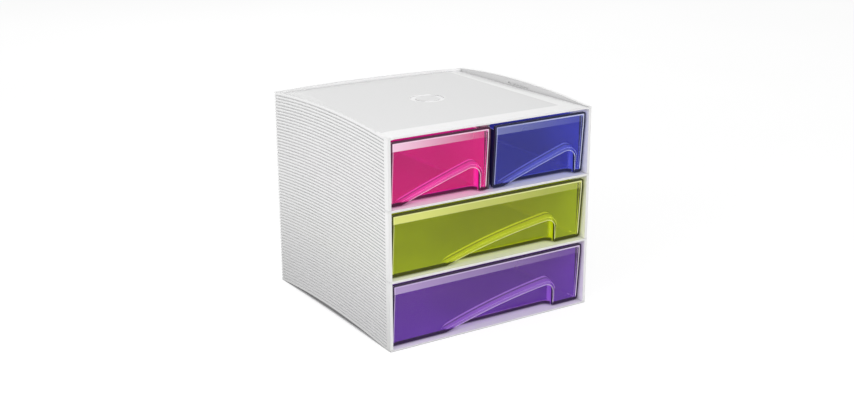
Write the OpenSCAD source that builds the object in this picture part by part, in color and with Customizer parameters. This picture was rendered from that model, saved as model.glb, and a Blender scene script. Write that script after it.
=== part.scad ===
// Desktop drawer tower: a white ribbed case with two narrow drawers above two full-width ones.
// Each drawer front has a swept finger scoop moulded into its lower edge.
// The case stands on z = 0, its open front faces -Y, and x = 0 is its middle plane.

/* [Case] */
// Width over both side panels
case_w = 186; // [160:1:230]
// Depth of a side panel
side_d = 184; // [150:1:230]
// How far the back panel bows out behind the side panels
back_bow = 8; // [4:0.5:14]
// Thickness of a side panel, ribs included
side_t = 2.4; // [2:0.1:4]
// Thickness of the back panel
back_t = 2.4; // [1.6:0.1:4]
// Height of one tier, from shelf top to shelf top
tier_h = 54.8; // [45:0.2:75]
// Rise of the arched top and bottom edges of a side panel
arch_rise = 4.5; // [2:0.5:8]

/* [Ribbed sides] */
// Width of the smooth strip along the front edge
strip_w = 5.5; // [4:0.5:10]
// Number of ribs from bottom to top
rib_count = 64; // [40:2:76]
// Width of the groove between two ribs
groove_w = 1.1; // [0.6:0.1:1.3]
// Depth of the groove between two ribs
groove_depth = 0.7; // [0.2:0.1:0.8]
// Length of the slot on the inner face of a rim
slot_l = 28.6; // [16:0.2:60]
// Height of the slot on the inner face of a rim
slot_h = 1.4; // [1:0.1:2]
// Height of that slot above the top panel
slot_rise = 1.4; // [0.8:0.1:2]
// Depth of the slot on the inner face of a rim
slot_depth = 1.1; // [0.5:0.1:1.2]
// Width and height of the ledges that carry the shelves
ledge = 2; // [1.2:0.1:2.4]

/* [Shelves, base and divider] */
// Thickness of a shelf
shelf_t = 1.8; // [1.6:0.1:3]
// Thickness of the base floor
base_t = 1; // [1:0.1:2.4]
// Height of the upstands along the base
upstand_h = 8; // [5:0.5:14]
// Thickness of the upstands along the base
upstand_t = 1.8; // [1.2:0.1:2.2]
// Thickness of the divider between the narrow bays
divider_t = 2; // [1.6:0.1:3]
// Set-back of the divider behind the front
divider_set_back = 8; // [7:0.5:20]
// Width of the seam around the ends of shelves, base and top
seam = 0.15; // [0.1:0.05:0.3]

/* [Top panel] */
// Thickness of the top panel
top_t = 1.4; // [1.2:0.1:2.4]
// Width of the sloping margin around the level field, widest at the back
margin_w = 17; // [12:1:26]
// Fall of the margin along the back
back_drop = 2.7; // [1.5:0.1:3.2]
// Fall of the margin along the front
front_drop = 0.3; // [0.2:0.1:1]
// Fall of the side margins where they start at the front
side_drop = 0.8; // [0.4:0.1:1.2]
// Outer diameter of the moulded ring
ring_d = 28; // [18:1:40]
// Width of the moulded ring
ring_w = 4; // [2:0.5:6]
// Depth of the moulded ring
ring_depth = 0.6; // [0.3:0.1:0.8]

/* [Drawers] */
// Gap between the front of a drawer and the case, on each side
side_gap = 1.4; // [0.8:0.1:2.4]
// Gap between the two narrow fronts
middle_gap = 4.2; // [3:0.1:8]
// Gap between a drawer and the shelf that it slides on
slide_gap = 0.8; // [0.3:0.1:1.2]
// Gap between the top of a front and the shelf above
top_gap = 2.4; // [1:0.1:3]
// Set-back of a drawer front from the front edge of the case
front_set_back = 2.2; // [0:0.1:3]
// Thickness of a drawer front
front_t = 2; // [1.6:0.1:2.6]
// Height of the upright band along the top of a front
band_h = 7.5; // [6:0.5:14]
// How far a front leans back below its band
lean = 3.2; // [2:0.2:5]
// Corner radius of a front
corner_r = 2; // [1:0.5:4]
// Thickness of the walls and floor of a tray
wall_t = 1.6; // [1.2:0.1:2.2]
// Height of the walls of a tray
wall_h = 46; // [20:1:47]
// Radius of the outer edges of a tray
tray_r = 4; // [3:0.5:8]
// Distance from the side of a front to the tray's wall
tray_inset = 1; // [0.8:0.1:3]
// Gap between the back of a tray and the back panel
rear_gap = 3; // [1:0.5:10]

/* [Finger scoops] */
// Height of a scoop at its peak, on its back wall
scoop_h = 21.8; // [16:0.1:26]
// Depth of a scoop behind the upright band
scoop_d = 10.5; // [8:0.1:11.4]
// Radius of the corner at the peak
scoop_r = 8; // [4:0.5:9]
// Slope of the short side of a scoop, in degrees from upright
scoop_slope = 6; // [4:0.5:20]
// Rise of a scoop's ceiling towards the back wall, in degrees
ceiling_rise = 13; // [4:1:18]
// Turn of a scoop towards its short side, in degrees from straight back
scoop_turn = 22; // [0:1:26]
// Width of the swept wall at the steep end of a scoop
short_flank = 13; // [13:0.5:18]
// Distance from the left of a wide front to the start of its scoop
wide_start = 47; // [30:1:60]
// Distance from the foot of a wide scoop to the right of its front
wide_end = 22.4; // [12:0.1:40]
// Radius of the long side of a wide scoop
wide_long_r = 450; // [300:10:1200]
// Width of the swept wall at the long end of a wide scoop
wide_flank = 24; // [14:0.5:30]
// Distance from the left of a narrow front to the start of its scoop
narrow_start = 9; // [7:0.5:16]
// Distance from the foot of a narrow scoop to the right of its front
narrow_end = 4.1; // [3:0.1:16]
// Radius of the long side of a narrow scoop
narrow_long_r = 800; // [300:10:1200]
// Width of the swept wall at the long end of a narrow scoop
narrow_flank = 13; // [13:0.5:18]

/* [Hidden] */
$fn = 96;
arc_fn = 720;
arc_steps = 32;
corner_steps = 8;
flank_steps = 12;
over = 1;

// Case
y_front = -(side_d + back_bow) / 2;
y_strip = y_front + strip_w;
y_side_back = y_front + side_d;
inner_w = case_w - 2 * side_t;
inner_x = inner_w / 2;
case_h = base_t + 3 * tier_h;
lower_top = base_t + tier_h;
upper_top = base_t + 2 * tier_h;
rib_pitch = case_h / rib_count;
y_ledge = y_strip + strip_w;
y_ledge_back = y_side_back - back_t - ledge;

// Circle through the two ends of an arched edge
arch_half = (y_side_back - y_strip) / 2;
arch_mid = (y_side_back + y_strip) / 2;
arch_r = (arch_half * arch_half + arch_rise * arch_rise) / (2 * arch_rise);

// Circle of the bowed back, through the inner edges of the side panels
bow_r = (inner_x * inner_x + back_bow * back_bow) / (2 * back_bow);
bow_y = y_side_back + back_bow - bow_r;
back_inner_r = bow_r - back_t;
y_back_inner = y_side_back + back_bow - back_t;

// Top panel
front_lip_top = case_h - front_drop;
front_lip_under = front_lip_top - top_t;
side_fall = (back_drop - side_drop) / side_d;
side_slope = atan(back_drop / margin_w);

// Height of the top panel's underside at the side panels
function edge_under(y) = case_h - top_t - side_drop - side_fall * (y - y_front);

// Drawers
front_h = tier_h - shelf_t - slide_gap - top_gap;
wide_w = inner_w - 2 * side_gap;
narrow_w = (wide_w - middle_gap) / 2;
narrow_x = (wide_w - narrow_w) / 2;
y_face = y_front + front_set_back;
tray_half = wide_w / 2 - tray_inset;
y_tray_back = bow_y + sqrt(back_inner_r * back_inner_r - tray_half * tray_half) - rear_gap;
tray_d = y_tray_back - y_face;

// Extrudes an outline drawn in (y, z) from x0 to x1
module along_x(x0, x1) {
    translate([x0, 0, 0])
        rotate([90, 0, 90])
            linear_extrude(x1 - x0) children();
}

// Extrudes an outline drawn in (x, z) from y0 to y1
module along_y(y0, y1) {
    translate([0, y1, 0])
        rotate([90, 0, 0])
            linear_extrude(y1 - y0) children();
}

// Everything below the arched line that starts and ends at height z
module below_arch(z) {
    translate([arch_mid, z + arch_rise - arch_r])
        circle(arch_r, $fn = arc_fn);
}

// The sliver between an arched line and its chord, at height z
module arch_segment(z) {
    intersection() {
        below_arch(z);
        translate([y_strip, z])
            square([2 * arch_half, arch_rise + over]);
    }
}

// Outline of a side panel: upright front strip, arched top, arched bottom
module side_outline() {
    difference() {
        union() {
            translate([y_front, 0])
                square([side_d, case_h]);
            arch_segment(case_h);
        }
        arch_segment(0);
    }
}

// Grooves that follow the arch and part the ribs, from the strip to the back edge
module rib_grooves() {
    for (i = [1 : rib_count - 1]) {
        z = i * rib_pitch;
        intersection() {
            difference() {
                below_arch(z + groove_w / 2);
                below_arch(z - groove_w / 2);
            }
            translate([y_strip, z - groove_w])
                square([2 * arch_half + over, arch_rise + 2 * groove_w]);
        }
    }
}

// Notch in the strip for one end of a shelf, base or top
module end_notch(z0, z1) {
    translate([y_front - over, z0])
        square([strip_w + seam + over, z1 - z0]);
}

// Ledge on the inner face, whose top runs from height z0 at its front to z1 at its back
module ledge_outline(z0, z1) {
    polygon([
        [y_ledge, z0 - ledge],
        [y_ledge_back, z1 - ledge],
        [y_ledge_back, z1],
        [y_ledge, z0]
    ]);
}

module left_side_panel() {
    color("white") {
        difference() {
            along_x(-case_w / 2, -inner_x)
                difference() {
                    side_outline();
                    end_notch(-over, base_t + seam);
                    end_notch(lower_top - shelf_t, lower_top + seam);
                    end_notch(upper_top - shelf_t, upper_top + seam);
                    end_notch(front_lip_under, case_h + over);
                }
            along_x(-case_w / 2 - over, -case_w / 2 + groove_depth)
                rib_grooves();
            along_x(-inner_x - slot_depth, -inner_x + over)
                translate([arch_mid - slot_l / 2, edge_under(arch_mid) + top_t + slot_rise])
                    square([slot_l, slot_h]);
        }
        along_x(-inner_x, -inner_x + ledge) {
            ledge_outline(lower_top - shelf_t, lower_top - shelf_t);
            ledge_outline(upper_top - shelf_t, upper_top - shelf_t);
            ledge_outline(edge_under(y_ledge), edge_under(y_ledge_back));
        }
    }
}

module right_side_panel() {
    mirror([1, 0, 0])
        left_side_panel();
}

module back_panel() {
    color("white")
        intersection() {
            translate([0, bow_y, 0])
                difference() {
                    cylinder(h = case_h, r = bow_r, $fn = arc_fn);
                    translate([0, 0, -over])
                        cylinder(h = case_h + 2 * over, r = back_inner_r, $fn = arc_fn);
                }
            translate([-inner_x, 0, -over])
                cube([inner_w, y_side_back + back_bow + over, case_h + 2 * over]);
        }
}

// Everything in front of the back panel's inner face, between heights z0 and z1
module inside_back(z0, z1) {
    translate([0, bow_y, z0])
        cylinder(h = z1 - z0, r = back_inner_r, $fn = arc_fn);
}

// Plate from side panel to side panel and to the back, with an end showing in each strip
module shelf_plate(z0, z1) {
    intersection() {
        translate([-inner_x, y_front, z0])
            cube([inner_w, side_d + back_bow, z1 - z0]);
        inside_back(z0 - over, z1 + over);
    }
    strip_ends(z0, z1);
}

module strip_ends(z0, z1) {
    for (x = [-case_w / 2, inner_x])
        translate([x, y_front, z0])
            cube([side_t, strip_w, z1 - z0]);
}

module base_panel() {
    color("white") {
        shelf_plate(0, base_t);
        for (x = [-inner_x, inner_x - upstand_t])
            translate([x, y_strip + strip_w / 2, 0])
                cube([upstand_t, side_d - 1.5 * strip_w - back_t, upstand_h]);
    }
}

module lower_shelf() {
    color("white")
        shelf_plate(lower_top - shelf_t, lower_top);
}

module upper_shelf() {
    color("white")
        shelf_plate(upper_top - shelf_t, upper_top);
}

// Everything below a side margin, which falls outwards and a little towards the back
module below_side_margin(drop) {
    translate([inner_x, y_front, case_h - side_drop - drop])
        rotate([-atan(side_fall * cos(side_slope)), side_slope, 0])
            translate([-case_w - over, -side_d, -case_h])
                cube([case_w + back_bow, 3 * side_d, case_h]);
}

// Block whose upper face is the level field with its sloping margins, lowered by drop
module top_form(drop) {
    z = case_h - drop;
    intersection() {
        along_x(-inner_x, inner_x)
            polygon([
                [y_front, upper_top],
                [y_back_inner, upper_top],
                [y_back_inner, z - back_drop],
                [y_back_inner - margin_w, z],
                [y_front + margin_w, z],
                [y_front, z - front_drop]
            ]);
        below_side_margin(drop);
        mirror([1, 0, 0])
            below_side_margin(drop);
        inside_back(upper_top - over, case_h + over);
    }
}

module top_panel() {
    color("white") {
        difference() {
            top_form(0);
            top_form(top_t);
            translate([0, arch_mid, case_h - ring_depth])
                difference() {
                    cylinder(h = ring_depth + over, d = ring_d);
                    cylinder(h = ring_depth + over, d = ring_d - 2 * ring_w);
                }
        }
        strip_ends(front_lip_under, case_h);
    }
}

module centre_divider() {
    color("white")
        intersection() {
            top_form(top_t);
            translate([-divider_t / 2, y_front + divider_set_back, upper_top])
                cube([divider_t, side_d + back_bow, tier_h]);
        }
}

// Rectangle centred on x = 0 with all four corners rounded
module rounded_rectangle(w, h, r) {
    translate([-w / 2, r])
        square([w, h - 2 * r]);
    translate([r - w / 2, 0])
        square([w - 2 * r, h]);
    for (x = [r - w / 2, w / 2 - r], z = [r, h - r])
        translate([x, z])
            circle(r);
}

// Block from y = 0 to y = d with round lower edges and round rear corners
module tub(w, d, h, r) {
    intersection() {
        along_y(0, d)
            rounded_rectangle(w, h + 2 * r, r);
        translate([0, -2 * r, 0])
            linear_extrude(h)
                rounded_rectangle(w, d + 2 * r, r);
    }
}

// Everything behind the outer face of a drawer front of width w
module behind_face(w) {
    along_x(-w / 2, w / 2)
        polygon([
            [0, front_h],
            [0, front_h - band_h],
            [lean, 0],
            [tray_d, 0],
            [tray_d, front_h]
        ]);
}

// Front of width w: upright band above, leaning back below
module front_plate(w) {
    intersection() {
        along_x(-w / 2, w / 2)
            polygon([
                [0, front_h],
                [0, front_h - band_h],
                [lean, 0],
                [lean + front_t, 0],
                [front_t, front_h - band_h],
                [front_t, front_h]
            ]);
        along_y(-over, lean + front_t + over)
            rounded_rectangle(w, front_h, corner_r);
    }
}

// Outline of a scoop of length l up to its foot at x = 0, grown by g: a long arc of radius long_r,
// a rounded corner that it runs into, and a steep side down to the foot
module scoop_outline(l, h, long_r, g) {
    corner_z = h - scoop_r;
    corner_x = -corner_z * tan(scoop_slope) - scoop_r / cos(scoop_slope);
    // Centre of the long arc, through the start and tangent to the corner
    reach = norm([corner_x + l, corner_z]);
    along = (long_r * long_r - (long_r - scoop_r) * (long_r - scoop_r) + reach * reach) / (2 * reach);
    off = sqrt(long_r * long_r - along * along);
    mid_x = (along * (corner_x + l) + off * corner_z) / reach - l;
    mid_z = (along * corner_z - off * (corner_x + l)) / reach;
    meet = atan((mid_x - corner_x) / (corner_z - mid_z));
    low = acos((-over - mid_z) / (long_r + g));
    polygon([
        for (i = [0 : arc_steps - 1])
            let (a = low + (meet - low) * i / arc_steps)
                [mid_x - (long_r + g) * sin(a), mid_z + (long_r + g) * cos(a)],
        for (i = [0 : corner_steps])
            let (a = meet - (meet + 90 - scoop_slope) * i / corner_steps)
                [corner_x - (scoop_r + g) * sin(a), corner_z + (scoop_r + g) * cos(a)],
        [g / cos(scoop_slope) + over * tan(scoop_slope), -over]
    ]);
}

// Points of an S-shaped line of two equal arcs that rises from (0, 0) to (w, d)
function swept_line(w, d) =
    let (r = (w * w + d * d) / (4 * d), turn = asin(w / (2 * r)))
        [
            for (i = [0 : flank_steps])
                let (a = turn * i / flank_steps)
                    [r * sin(a), r - r * cos(a)],
            for (i = [flank_steps - 1 : -1 : 0])
                let (a = turn * i / flank_steps)
                    [w - r * sin(a), d - r + r * cos(a)]
        ];

// Plan of a scoop from x = left to x = right, grown by g: swept walls on both sides of a flat back
module scoop_plan(left, right, flank, g) {
    d = scoop_d + g;
    short = swept_line(short_flank, d);
    polygon([
        [left - g, -over],
        for (p = swept_line(flank, d))
            [left - g + p[0], p[1]],
        for (i = [len(short) - 1 : -1 : 0])
            [right + g - short[i][0], short[i][1]],
        [right + g, -over]
    ]);
}

// Space of a finger scoop from x = start to x = foot, grown by g on every side
module scoop(start, foot, long_r, flank, g) {
    reach = (scoop_d + lean + (foot - start) * sin(scoop_turn)) / cos(scoop_turn) / cos(ceiling_rise);
    intersection() {
        translate([foot, scoop_d, 0])
            rotate([ceiling_rise, 0, 0])
                rotate([0, 0, -scoop_turn])
                    along_y(-reach, lean + g)
                        scoop_outline((foot - start) * cos(scoop_turn), scoop_h * cos(ceiling_rise),
                            long_r, g);
        translate([0, 0, -2 * over])
            linear_extrude(scoop_h + g + 4 * over)
                scoop_plan(start - flank / 2, foot + short_flank / 4, flank, g);
    }
}

// One drawer moulding of front width w, with its scoop from x = start to x = foot
module drawer(w, start, foot, long_r, flank) {
    tray_w = w - 2 * tray_inset;
    difference() {
        intersection() {
            behind_face(w);
            union() {
                front_plate(w);
                difference() {
                    tub(tray_w, tray_d, wall_h, tray_r);
                    translate([0, -over, wall_t])
                        tub(tray_w - 2 * wall_t, tray_d + over - wall_t, wall_h, tray_r - wall_t);
                }
                scoop(start, foot, long_r, flank, wall_t);
            }
        }
        scoop(start, foot, long_r, flank, 0);
    }
}

module wide_drawer() {
    drawer(wide_w, wide_start - wide_w / 2, wide_w / 2 - wide_end, wide_long_r, wide_flank);
}

module narrow_drawer() {
    drawer(narrow_w, narrow_start - narrow_w / 2, narrow_w / 2 - narrow_end, narrow_long_r, narrow_flank);
}

module pink_drawer() {
    color([0.85, 0.14, 0.5, 0.7])
        translate([-narrow_x, y_face, upper_top + slide_gap])
            narrow_drawer();
}

module blue_drawer() {
    color([0.27, 0.28, 0.63, 0.7])
        translate([narrow_x, y_face, upper_top + slide_gap])
            narrow_drawer();
}

module lime_drawer() {
    color([0.8, 0.88, 0.1, 0.7])
        translate([0, y_face, lower_top + slide_gap])
            wide_drawer();
}

module purple_drawer() {
    color([0.42, 0.26, 0.62, 0.7])
        translate([0, y_face, base_t + slide_gap])
            wide_drawer();
}

left_side_panel();
right_side_panel();
back_panel();
base_panel();
lower_shelf();
upper_shelf();
top_panel();
centre_divider();
pink_drawer();
blue_drawer();
lime_drawer();
purple_drawer();
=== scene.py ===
"""Looks for the plastic drawer tower: satin white case, clear tinted drawers, soft studio light.

Lengths are in metres in the frame of the CAD: +Z up, -Y out through the drawer fronts. A pair of
numbers is a soft step: a mask is 0 at the first and 1 at the second, whichever is larger.
"""

import math

import bpy
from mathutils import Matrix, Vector

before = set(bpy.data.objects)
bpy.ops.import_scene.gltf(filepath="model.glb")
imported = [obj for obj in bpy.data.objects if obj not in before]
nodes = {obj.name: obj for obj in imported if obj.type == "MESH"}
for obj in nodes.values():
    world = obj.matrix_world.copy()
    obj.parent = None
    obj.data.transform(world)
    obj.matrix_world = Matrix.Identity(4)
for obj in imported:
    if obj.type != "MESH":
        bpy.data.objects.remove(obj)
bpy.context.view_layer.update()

# ---------------------------------------------------------------- node helpers


def new_material(name):
    """Empty node material, its tree and its output node."""
    m = bpy.data.materials.new(name)
    m.use_nodes = True
    t = m.node_tree
    t.nodes.clear()
    return m, t, t.nodes.new("ShaderNodeOutputMaterial")


def add(t, kind, **inputs):
    """Node with a value or a link for each input that is given; _ stands for a space."""
    n = t.nodes.new(kind)
    for key, value in inputs.items():
        socket = n.inputs[key.replace("_", " ")]
        if isinstance(value, bpy.types.NodeSocket):
            t.links.new(value, socket)
        else:
            socket.default_value = value
    return n


def noise(t, scale, detail=2.0):
    coords = t.nodes.new("ShaderNodeTexCoord")
    n = add(t, "ShaderNodeTexNoise", Scale=scale, Detail=detail, Roughness=0.5,
            Vector=coords.outputs["Object"])
    return n.outputs["Fac"]


def ramp(t, source, low, high, at=(0.3, 0.7)):
    """Colour that runs from low to high with the source."""
    r = add(t, "ShaderNodeValToRGB", Fac=source)
    for element, position, colour in zip(r.color_ramp.elements, at, (low, high)):
        element.position = position
        element.color = colour
    return r.outputs["Color"]


def map_range(t, source, a, b, c, d):
    n = t.nodes.new("ShaderNodeMapRange")
    for i, v in enumerate((a, b, c, d), start=1):
        n.inputs[i].default_value = v
    t.links.new(source, n.inputs[0])
    return n.outputs[0]


def step(t, source, limits, top=1.0):
    """0 before the first limit, top past the second."""
    return map_range(t, source, *limits, 0, top)


def operate(t, kind, operation, values):
    n = t.nodes.new(kind)
    n.operation = operation
    for i, v in enumerate(values):
        if isinstance(v, bpy.types.NodeSocket):
            t.links.new(v, n.inputs[i])
        else:
            n.inputs[i].default_value = v
    return n


def scalar(t, operation, *values):
    return operate(t, "ShaderNodeMath", operation, values).outputs[0]


def vector(t, operation, *values):
    n = operate(t, "ShaderNodeVectorMath", operation, values)
    return n.outputs["Value" if operation in ("LENGTH", "DOT_PRODUCT") else "Vector"]


def product(t, *factors):
    value = factors[0]
    for factor in factors[1:]:
        value = scalar(t, "MULTIPLY", value, factor)
    return value


def largest(t, *values):
    value = values[0]
    for other in values[1:]:
        value = scalar(t, "MAXIMUM", value, other)
    return value


def size_of(t, source):
    return scalar(t, "ABSOLUTE", source)


def rest_of(t, share):
    return scalar(t, "SUBTRACT", 1.0, share)


def split(t, source):
    """The three components of a vector."""
    n = add(t, "ShaderNodeSeparateXYZ", Vector=source)
    return [n.outputs[k] for k in "XYZ"]


def open_sky(t, distance):
    """Share of the surroundings, out to the distance, that nothing covers."""
    n = add(t, "ShaderNodeAmbientOcclusion", Distance=distance)
    n.samples = 8
    return n.outputs["AO"]


def soft_edge(t, radius, samples):
    """Normal that is rounded over the edges."""
    n = add(t, "ShaderNodeBevel", Radius=radius)
    n.samples = samples
    return n.outputs["Normal"]


def blend(t, share, colour, other):
    n = add(t, "ShaderNodeMixRGB", Fac=share, Color1=colour, Color2=other)
    return n.outputs["Color"]


def mix_shaders(t, amount, first, second):
    n = add(t, "ShaderNodeMixShader", Fac=amount)
    t.links.new(first, n.inputs[1])
    t.links.new(second, n.inputs[2])
    return n.outputs[0]


def grey(value):
    return (value, value, value, 1)


def shaded(colour, gain=1.0, power=1.0):
    """The colour raised to a power and made brighter or darker, with alpha."""
    return tuple(min(1, c ** power * gain) for c in colour) + (1,)


# ---------------------------------------------------------------- white case

CASE = [
    "left_side_panel", "right_side_panel", "back_panel", "base_panel",
    "lower_shelf", "upper_shelf", "top_panel", "centre_divider",
]
STRIPS_Y = (-0.0905, -0.091)  # the smooth front strips
SEAMS = (0.0549, 0.1097)  # heights of the joint lines across the strips
SEAM = (0.0004, 0.0002)  # half the thickness of a joint line
TOP_Z = (0.158, 0.161)
BORDER_X = (0.0734, 0.0738)  # right border of the top
BORDER_Y = (-0.0788, -0.0792)  # front border of the top
RING_AT = (0.0, -0.00125, 0.0)
RING_INNER = (0.0094, 0.0098)
RING_OUTER = (0.0146, 0.0142)
RIM_Z = (0.1625, 0.164)  # the arched rims beside the top
RIM_X = (0.0915, 0.091)  # their inner faces
RIBS_X = (0.0915, 0.092)  # the ribbed outer faces
LOW_X = (0.08, 0.082)  # the base's sides, under the arched side panels
LOW_Y = (-0.0907, -0.0904)  # without the ears in the front strips
LOW_Z = (0.006, 0.005)

# How far away the walls of a groove, and the floor, count as cover
CREVICE_REACH = 0.006
FLOOR_REACH = 0.1
LAMPS_THROUGH = 0.85  # share of the lamps' light that passes the panels


def white_plastic(name, closed=0.05, depth=0.75, sides=None, shadow=0.12):
    """Satin white.

    Grooves and gaps where no more than the share closed of the sky is in sight are darkest: the
    share depth of their colour is then the shadow tone. The base's sides under the arches are
    painted dark as shade, in the tone sides.
    """
    m, t, out = new_material(name)
    fine = noise(t, 900)
    coords = t.nodes.new("ShaderNodeTexCoord")
    x, y, z = split(t, coords.outputs["Object"])
    facing_x, _, facing_z = split(t, coords.outputs["Normal"])
    away = size_of(t, x)
    sideways = size_of(t, facing_x)

    # Painted light on the top: its front and right borders and the ring are painted lighter as a
    # highlight, and the level field darker as shade
    upward = product(t, step(t, facing_z, (0.8, 0.9)), step(t, z, TOP_Z))
    border = largest(t, step(t, x, BORDER_X), step(t, y, BORDER_Y))
    from_ring = vector(t, "SUBTRACT", coords.outputs["Object"], RING_AT)
    radius = vector(t, "LENGTH", vector(t, "MULTIPLY", from_ring, (1.0, 1.0, 0.0)))
    ring = product(t, upward, step(t, radius, RING_OUTER), step(t, radius, RING_INNER))
    painted_top_highlight = product(t, upward, largest(t, border, ring))
    painted_field_shade = product(t, upward, rest_of(t, painted_top_highlight))

    # Inside the rims, and near the floor on the ribbed sides, there is soft shade
    rim = product(t, step(t, sideways, (0.6, 0.8)), step(t, z, RIM_Z), step(t, away, RIM_X))
    outer = product(t, step(t, sideways, (0.5, 0.7)), step(t, away, RIBS_X))
    low = product(t, outer, map_range(t, open_sky(t, FLOOR_REACH), 0.5, 1.0, 0.34, 0.0))
    # The ring is painted white as a highlight; the rims' inner faces and the ribbed sides near the
    # floor take painted shade
    tones = [(painted_top_highlight, 0.96), (ring, 1.0), (painted_field_shade, 0.8), (rim, 0.6), (low, 0.12)]
    # Painted shade: the base's sides, under the arched side panels, are darkened to the tone sides
    if sides is not None:
        painted_side_shade = product(t, step(t, sideways, (0.5, 0.7)), step(t, away, LOW_X),
                           step(t, y, LOW_Y), step(t, z, LOW_Z, 0.9))
        tones.append((painted_side_shade, sides))
    colour = ramp(t, noise(t, 14, 3), grey(0.84), grey(0.87))
    for share, value in tones:
        colour = blend(t, share, colour, grey(value))

    # Crevices are in deep shade, less so in the ring and between the ribs
    shade = map_range(t, open_sky(t, CREVICE_REACH), closed, closed + 0.6, depth, 0.0)
    lit = largest(t, product(t, ring, 0.95), product(t, outer, 0.3))
    crevice = product(t, shade, rest_of(t, lit))
    # A thin joint line crosses the front strips level with each shelf
    joints = [step(t, size_of(t, scalar(t, "SUBTRACT", z, height)), SEAM, 0.12) for height in SEAMS]
    seam = product(t, step(t, y, STRIPS_Y), largest(t, *joints))
    colour = blend(t, largest(t, crevice, seam), colour, (shadow, shadow, shadow * 1.08, 1))

    bump = add(t, "ShaderNodeBump", Strength=0.06, Distance=0.0002, Height=fine,
               Normal=soft_edge(t, 0.00035, 4))
    satin = add(t, "ShaderNodeBsdfPrincipled", Base_Color=colour, IOR=1.5,
                Specular_IOR_Level=0.35, Roughness=map_range(t, fine, 0.3, 0.7, 0.36, 0.46),
                Normal=bump.outputs["Normal"])
    # The thin panels let most of the lamps' light through to the drawers
    through = add(t, "ShaderNodeBsdfTransparent", Color=grey(1))
    path = t.nodes.new("ShaderNodeLightPath")
    share = product(t, path.outputs["Is Shadow Ray"], LAMPS_THROUGH)
    surface = mix_shaders(t, share, satin.outputs[0], through.outputs[0])
    t.links.new(surface, out.inputs["Surface"])
    return m


# ---------------------------------------------------------------- clear drawers

FRONT_H = 0.0498
CORNER = 0.002  # radius of the front's corners

# Limits in Y
PLATE_Y = (-0.0885, -0.0888)  # the front plate; behind it is the tray
BEHIND_PLATE_Y = (-0.0888, -0.0885)
BAND_Y = (-0.0932, -0.0935)  # outer face of the upright band
CLEAR_Y = (-0.0795, -0.08)  # the plate and the wall of the scoop
CEILING_Y = (-0.0805, -0.082)
SCOOP_Y = (-0.08, -0.081)
CREST_Y = (-0.0837, -0.0833)
CREST_SHADE_Y = ((-0.0852, -0.0849), (-0.0838, -0.0841))
GAP_Y = (-0.07, -0.075)

# Limits in height above the foot of the front
BAND_Z = (0.0421, 0.0425)
RAIL_Z = (0.048, 0.049)  # upper edge of the front
SCOOP_Z = ((0.002, 0.003), (0.03, 0.028))
BRIGHT_Z = (0.002, 0.004)
FLOOR_Z = (0.003, 0.0027)  # the tray's floor
SOLE_Z = (0.0026, 0.0023)

# Limits in distance from the front's outline, and from its left edge
BRIGHT_IN = ((0.0014, 0.0016), (0.0025, 0.0022))
RIM_IN = (0.0016, 0.0013)
WALL_IN = (0.0026, 0.0023)  # the outer face of the tray's left wall

# Limits in the components of the normal
STEEP = (0.6, 0.8)
LEVEL = (0.4, 0.6)

GAP_REACH = 0.009  # how near another drawer has to be to shade the left wall


def rim_depth(t, place, left, right, foot):
    """Distance from a point of a drawer front to the front's rounded outline."""
    middle = ((left + right) / 2, 0.0, foot + FRONT_H / 2)
    # The outline is the same at every Y: 1.0 keeps Y out of the distance
    core = ((right - left) / 2 - CORNER, 1.0, FRONT_H / 2 - CORNER)
    off = vector(t, "ABSOLUTE", vector(t, "SUBTRACT", place, middle))
    q = vector(t, "SUBTRACT", off, core)
    far = vector(t, "LENGTH", vector(t, "MAXIMUM", q, (0.0, 0.0, 0.0)))
    across, _, up = split(t, q)
    inner = scalar(t, "MINIMUM", largest(t, across, up), 0.0)
    return scalar(t, "SUBTRACT", CORNER, scalar(t, "ADD", far, inner))


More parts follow.
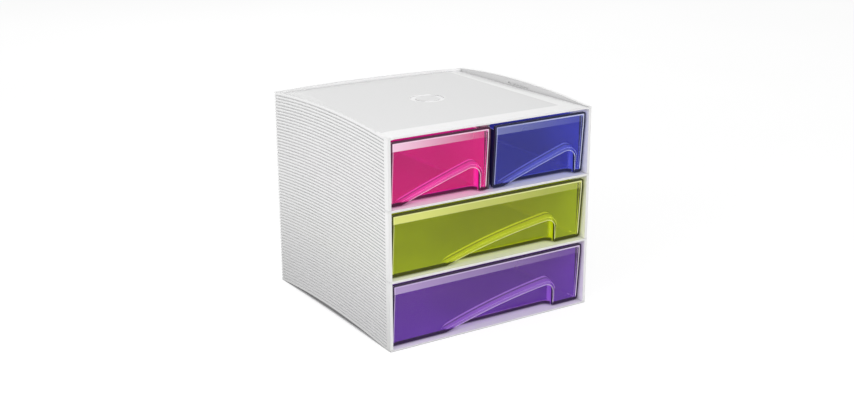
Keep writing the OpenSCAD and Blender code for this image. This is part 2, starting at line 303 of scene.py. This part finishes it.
def clear_plastic(name, tint, pale, band_sheen, left, right, foot):
    """Clear tinted polystyrene: polished walls that colour what is seen through them.

    Moulded edges and a line inside the rim carry a painted highlight; the side faces, rim, upper
    edge and foot are painted dark, as shade and dark reflection; and the upright band along the top
    of the front carries a painted pale sheen, a painted reflection, by the first band sheen value
    at the left end and by the second at the right. The front runs from left to right above its
    foot.
    """
    m, t, out = new_material(name)
    wide = noise(t, 22)
    rough = map_range(t, noise(t, 300), 0.3, 0.7, 0.0, 0.02)
    coords = t.nodes.new("ShaderNodeTexCoord")
    x, y, z = split(t, coords.outputs["Object"])
    facing_x, facing_y, facing_z = split(t, coords.outputs["Normal"])
    sideways = size_of(t, facing_x)
    level = size_of(t, facing_z)
    depth = rim_depth(t, coords.outputs["Object"], left, right, foot)

    def polished(low, high, transmission):
        shader = add(t, "ShaderNodeBsdfPrincipled", IOR=1.3, Transmission_Weight=transmission,
                     Base_Color=ramp(t, wide, low, high), Roughness=rough)
        return shader.outputs[0]

    def opaque(low, high, specular=0.5):
        shader = add(t, "ShaderNodeBsdfPrincipled", Roughness=0.3, Specular_IOR_Level=specular,
                     Base_Color=ramp(t, wide, low, high))
        return shader.outputs[0]

    def height(limits, top=1.0):
        return step(t, z, [foot + limit for limit in limits], top)

    # The tray is denser than the front plate, through which it is seen
    inside = product(t, step(t, y, BEHIND_PLATE_Y),
                     largest(t, step(t, sideways, STEEP), height(FLOOR_Z)))
    front = product(t, step(t, y, CLEAR_Y), rest_of(t, inside))
    light_tint = [c ** 0.6 for c in tint]
    walls = mix_shaders(t, front,
                        polished(shaded(tint, 0.95), shaded(tint, 1.03), 0.55),
                        polished(shaded(light_tint, 0.95), shaded(light_tint, 1.03), 0.97))

    # Painted reflection: a pale sheen painted on the band, the face above the lean of the front,
    # fading from its left end to its right
    plate = step(t, y, PLATE_Y)
    band = product(t, height(BAND_Z), step(t, y, BAND_Y), map_range(t, x, left, right, *band_sheen))
    # The scoop: its ceiling is painted pale where it would catch light, with a painted highlight
    # along its crest and a painted shadow line beside it
    scoop = product(t, height(SCOOP_Z[0]), height(SCOOP_Z[1]))
    ceiling = product(t, step(t, level, LEVEL, 0.62), step(t, y, CEILING_Y), scoop)
    roof = product(t, step(t, level, LEVEL), scoop, step(t, y, SCOOP_Y))
    crest = product(t, roof, step(t, y, CREST_Y, 0.95))
    crest_shade = product(t, roof, step(t, y, CREST_SHADE_Y[0]), step(t, y, CREST_SHADE_Y[1], 0.7))
    # The pale tint that carries the painted sheen of the band and the painted light on the scoop's
    # ceiling
    pale_sheen = opaque(shaded(pale, 0.96), shaded(pale))
    face = mix_shaders(t, largest(t, band, ceiling), walls, pale_sheen)

    # Painted highlights: pale lines along the edges, and a bright line inside the rim that is
    # strongest at the right
    geometry = t.nodes.new("ShaderNodeNewGeometry")
    bend = vector(t, "DOT_PRODUCT", soft_edge(t, 0.0011, 6), geometry.outputs["Normal"])
    line = step(t, bend, (0.98, 0.88))
    forward = step(t, facing_y, (-0.3, -0.6))
    bright = product(t, step(t, depth, BRIGHT_IN[0]), step(t, depth, BRIGHT_IN[1]), forward,
                     plate, height(BRIGHT_Z), map_range(t, x, left, right, 0.3, 0.85))
    white = opaque(shaded(pale, 0.97, 0.5), shaded(pale, 1.0, 0.5))
    face = mix_shaders(t, largest(t, line, bright, crest), face, white)

    # Painted shade and dark reflection: the upper edge, the side faces, the rim and the foot are
    # painted near-black
    rail = product(t, step(t, facing_z, (0.7, 0.9), 0.9), plate, height(RAIL_Z))
    shaded_sides = product(t, step(t, sideways, STEEP, 0.95), plate)
    rim = product(t, step(t, depth, RIM_IN, 0.95), forward, plate)
    sole = product(t, height(SOLE_Z, 0.95), step(t, facing_y, (-0.2, -0.4)), step(t, y, SCOOP_Y))
    # The left wall, where it stands close to another drawer, is in deep shade
    gap = product(t, step(t, open_sky(t, GAP_REACH), (0.8, 0.55), 0.97),
                  step(t, facing_x, (-0.6, -0.8)),
                  step(t, x, [left + limit for limit in WALL_IN]), step(t, y, GAP_Y))
    dark = opaque(shaded(tint, 0.03), shaded(tint, 0.05), 0.2)
    body = mix_shaders(t, largest(t, shaded_sides, rim, sole, crest_shade, rail, gap), face, dark)

    # Lamps pass straight through, and bounced light takes on the tint
    clear = add(t, "ShaderNodeBsdfTransparent", Color=shaded(tint, power=0.08))
    glow = add(t, "ShaderNodeBsdfDiffuse", Color=shaded(tint))
    path = t.nodes.new("ShaderNodeLightPath")
    bounced = mix_shaders(t, product(t, path.outputs["Is Diffuse Ray"], 0.45),
                          clear.outputs[0], glow.outputs[0])
    either = largest(t, path.outputs["Is Shadow Ray"], path.outputs["Is Diffuse Ray"])
    t.links.new(mix_shaders(t, either, body, bounced), out.inputs["Surface"])
    return m


# ---------------------------------------------------------------- who gets what

LEFT, MIDDLE = 0.0892, 0.0021  # the outer edges of the fronts, and their edges at the gap
FEET = {"upper": 0.1114, "middle": 0.0566, "lower": 0.0018}

WHITE = white_plastic("white_plastic")
# Painted shade: the divider's front edge goes near-black where it sits deep between the fronts, and
# the base's sides go dark under the arches
SPECIAL = {
    "centre_divider": white_plastic("white_plastic_in_gap", closed=0.5, depth=0.98,
                                    shadow=0.015),
    "base_panel": white_plastic("white_plastic_over_floor", sides=0.1),
}
# Tint, pale tint, painted sheen on the band at the left and right ends, and the front's left, right
# and foot
CLEAR = {
    "pink": ((1.0, 0.05, 0.56), (1.0, 0.7, 0.87), (0.92, 0.05),
             -LEFT, -MIDDLE, FEET["upper"]),
    "blue": ((0.18, 0.2, 0.82), (0.5, 0.56, 0.95), (0.32, 0.06),
             MIDDLE, LEFT, FEET["upper"]),
    "lime": ((0.72, 0.8, 0.01), (0.94, 0.97, 0.28), (0.8, 0.2),
             -LEFT, LEFT, FEET["middle"]),
    "purple": ((0.48, 0.2, 0.82), (0.8, 0.62, 0.95), (0.52, 0.06),
               -LEFT, LEFT, FEET["lower"]),
}


def paint(obj, material):
    obj.data.materials.clear()
    obj.data.materials.append(material)


for name in CASE:
    paint(nodes[name], SPECIAL.get(name, WHITE))
for name, values in CLEAR.items():
    paint(nodes[name + "_drawer"], clear_plastic("clear_" + name, *values))

# ---------------------------------------------------------------- stage, light, camera


def seen_ray(t):
    """1 for rays that the camera, a gloss or a clear wall sends out."""
    path = t.nodes.new("ShaderNodeLightPath")
    kinds = ("Is Camera Ray", "Is Glossy Ray", "Is Transmission Ray")
    return largest(t, *(path.outputs[kind] for kind in kinds))


ARCH_REACH = 0.008  # how near the arched sides have to be to shade the floor


def floor_material():
    """Pale floor that keeps the shadow; the narrow space under the arched sides gets a painted
    contact shadow, by dimming the floor's glow.
    """
    m, t, out = new_material("studio_floor")
    p = add(t, "ShaderNodeBsdfPrincipled", Roughness=0.9, Specular_IOR_Level=0.0,
            Base_Color=ramp(t, noise(t, 3), grey(0.28), grey(0.29)))
    under = map_range(t, open_sky(t, ARCH_REACH), 0.3, 0.5, 0.1, 0.8)
    glow = add(t, "ShaderNodeEmission", Strength=product(t, seen_ray(t), under))
    both = t.nodes.new("ShaderNodeAddShader")
    t.links.new(p.outputs[0], both.inputs[0])
    t.links.new(glow.outputs[0], both.inputs[1])
    t.links.new(both.outputs[0], out.inputs["Surface"])
    return m


GROUND_HALF = 30
GROUND_Z = -0.0002
mesh = bpy.data.meshes.new("floor")
mesh.from_pydata([(x * GROUND_HALF, y * GROUND_HALF, GROUND_Z)
                  for x, y in ((-1, -1), (1, -1), (1, 1), (-1, 1))], [], [(0, 1, 2, 3)])
ground = bpy.data.objects.new("floor", mesh)
bpy.context.scene.collection.objects.link(ground)
paint(ground, floor_material())


def area_light(name, place, target, size, power):
    light = bpy.data.lights.new(name, "AREA")
    light.shape = "RECTANGLE"
    light.size, light.size_y = size
    light.energy = power
    obj = bpy.data.objects.new(name, light)
    bpy.context.scene.collection.objects.link(obj)
    obj.location = place
    obj.rotation_euler = (Vector(target) - Vector(place)).to_track_quat("-Z", "Y").to_euler()


area_light("key", (-0.9, -0.2, 0.4), (0, 0, 0.08), (0.7, 0.7), 6)
area_light("front", (0.3, -1.7, 0.55), (0, 0, 0.08), (1.2, 0.8), 15)
area_light("back", (0.5, 1.4, 0.9), (0, 0, 0.1), (1.4, 0.8), 3)

# The world lights the tower softly and is white where it is seen
world = bpy.data.worlds.new("studio")
bpy.context.scene.world = world
world.use_nodes = True
wt = world.node_tree
wt.nodes.clear()
soft, seen = (add(wt, "ShaderNodeBackground", Color=grey(1), Strength=strength)
              for strength in (0.5, 1.0))
sky = wt.nodes.new("ShaderNodeOutputWorld")
wt.links.new(mix_shaders(wt, seen_ray(wt), soft.outputs[0], seen.outputs[0]), sky.inputs["Surface"])

# Camera fitted to the photograph; the lengths in pixels are of its 854 wide frame
PHOTO_WIDTH = 854
FOCAL = 1252
CENTRE_X = 446.2
PITCH_DOWN = 17.43
HEADING = -33.04
camera = bpy.data.cameras.new("camera")
camera.sensor_width = 36.0
camera.lens = 36.0 * FOCAL / PHOTO_WIDTH
camera.shift_x = (PHOTO_WIDTH / 2 - CENTRE_X) / PHOTO_WIDTH
camera.clip_start = 0.01
view = bpy.data.objects.new("camera", camera)
bpy.context.scene.collection.objects.link(view)
view.location = (-0.5279, -0.8410, 0.3863)
view.rotation_euler = (math.radians(90 - PITCH_DOWN), 0, math.radians(HEADING))
bpy.context.scene.camera = view
bpy.context.scene.view_settings.view_transform = "Standard"
